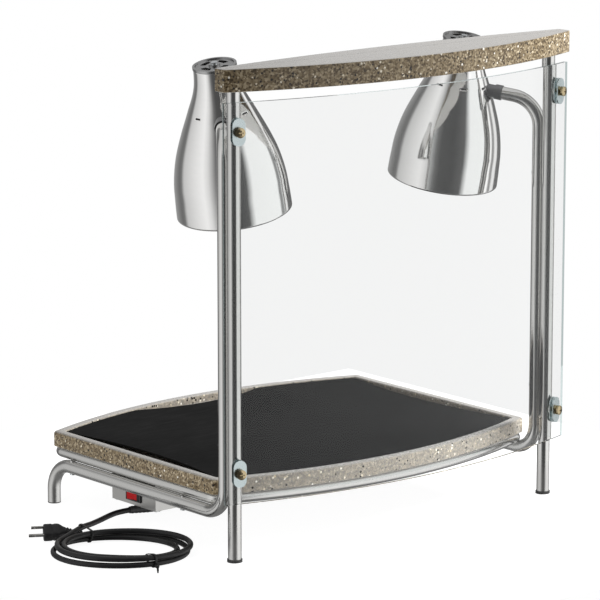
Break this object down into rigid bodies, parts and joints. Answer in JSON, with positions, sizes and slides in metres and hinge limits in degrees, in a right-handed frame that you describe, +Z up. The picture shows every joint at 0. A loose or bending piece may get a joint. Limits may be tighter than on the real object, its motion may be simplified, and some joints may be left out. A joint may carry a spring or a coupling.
{
  "type": "heated carving station",
  "caption": "Free-standing heated carving station: bowed stone shelf, clear curved guard, tube frame, tilting heat lamps over a black heated plate in a stone rim, switch box, tied mains lead.",
  "frame": {"origin": "middle of the station's footprint on the table, without the mains lead", "axes": "+Z up from the table, +X along the shelf to the right of someone facing the guard, -Y out through the guard"},
  "size_m": [0.8054, 0.56, 0.688],
  "materials": {
    "tube_steel": "bright chrome",
    "plain_steel": "satin",
    "bright_zinc": "zinc plated",
    "yellow_zinc": "yellow zinc plated",
    "speckled_stone": "smooth, speckled",
    "clear_glass": "clear, polished edges",
    "black_plate": "black, fine brushed",
    "heater_silicone": "matte",
    "insulation": "fibrous",
    "sheet_metal": "satin",
    "polished_shade": "mirror polished",
    "white_ceramic": "glazed",
    "bulb_glass": "frosted face",
    "pin_brass": "nickel plated",
    "black_plastic": "semi gloss",
    "dark_plastic": "matte",
    "white_nylon": "matte",
    "brown_resin": "matte",
    "red_rocker": "gloss",
    "black_rubber": "matte",
    "cord_jacket": "satin"
  },
  "bodies": {
    "station": {"left_post": "tube_steel", "right_post": "tube_steel", "front_glides": "black_rubber", "left_lamp_tube": "tube_steel", "right_lamp_tube": "tube_steel", "rear_plugs": "dark_plastic", "riser_screws": "bright_zinc", "shelf": "speckled_stone", "post_plugs": "plain_steel", "shelf_studs": "plain_steel", "guard": "clear_glass", "front_washers": "bright_zinc", "rear_washers": "bright_zinc", "guard_spacers": "white_nylon", "guard_screws": "yellow_zinc", "base_slab": "speckled_stone", "carving_plate": "black_plate", "heating_mat": "heater_silicone", "insulation_board": "insulation", "bottom_pan": "sheet_metal", "edge_tube": "tube_steel", "rail_spacers": "plain_steel", "rail_screws": "bright_zinc", "control_box": "sheet_metal", "box_cover": "sheet_metal", "box_screws": "bright_zinc", "switch_frame": "black_plastic", "terminal_block": "white_nylon", "thermostat": "brown_resin", "wire_grommet": "black_rubber", "heater_lead": "white_nylon", "cord_gland": "black_plastic", "cord_lead": "cord_jacket", "cord_coil": "cord_jacket", "cord_plug": "cord_jacket", "plug_pins": "pin_brass", "coil_ties": "black_plastic", "left_coupling": "tube_steel", "left_pin_nut": "plain_steel", "right_coupling": "tube_steel", "right_pin_nut": "plain_steel"},
    "left_lamp": {"left_collar": "tube_steel", "left_bracket": "plain_steel", "left_socket": "white_ceramic", "left_bulb": "bulb_glass", "left_bulb_base": "pin_brass", "left_shade": "polished_shade", "left_vent_cap": "polished_shade", "left_cap_screw": "bright_zinc"},
    "right_lamp": {"right_collar": "tube_steel", "right_bracket": "plain_steel", "right_socket": "white_ceramic", "right_bulb": "bulb_glass", "right_bulb_base": "pin_brass", "right_shade": "polished_shade", "right_vent_cap": "polished_shade", "right_cap_screw": "bright_zinc"},
    "rocker": {"switch_rocker": "red_rocker"}
  },
  "joints": [
    {"name": "left_lamp_tilt", "type": "hinge", "parent": "station", "child": "left_lamp", "pos_m": [-0.22042, -0.08318, 0.605], "axis": [0.593, 0.787, 0.1702], "range_deg": [-37.5, 52.5]},
    {"name": "right_lamp_tilt", "type": "hinge", "parent": "station", "child": "right_lamp", "pos_m": [0.22042, -0.08318, 0.605], "axis": [-0.593, 0.787, 0.1702], "range_deg": [-38.3, 51.7]},
    {"name": "switch_press", "type": "hinge", "parent": "station", "child": "rocker", "pos_m": [-0.2725, 0.0505, 0.04], "axis": [0, 0, 1], "range_deg": [-16, 0]}
  ]
}
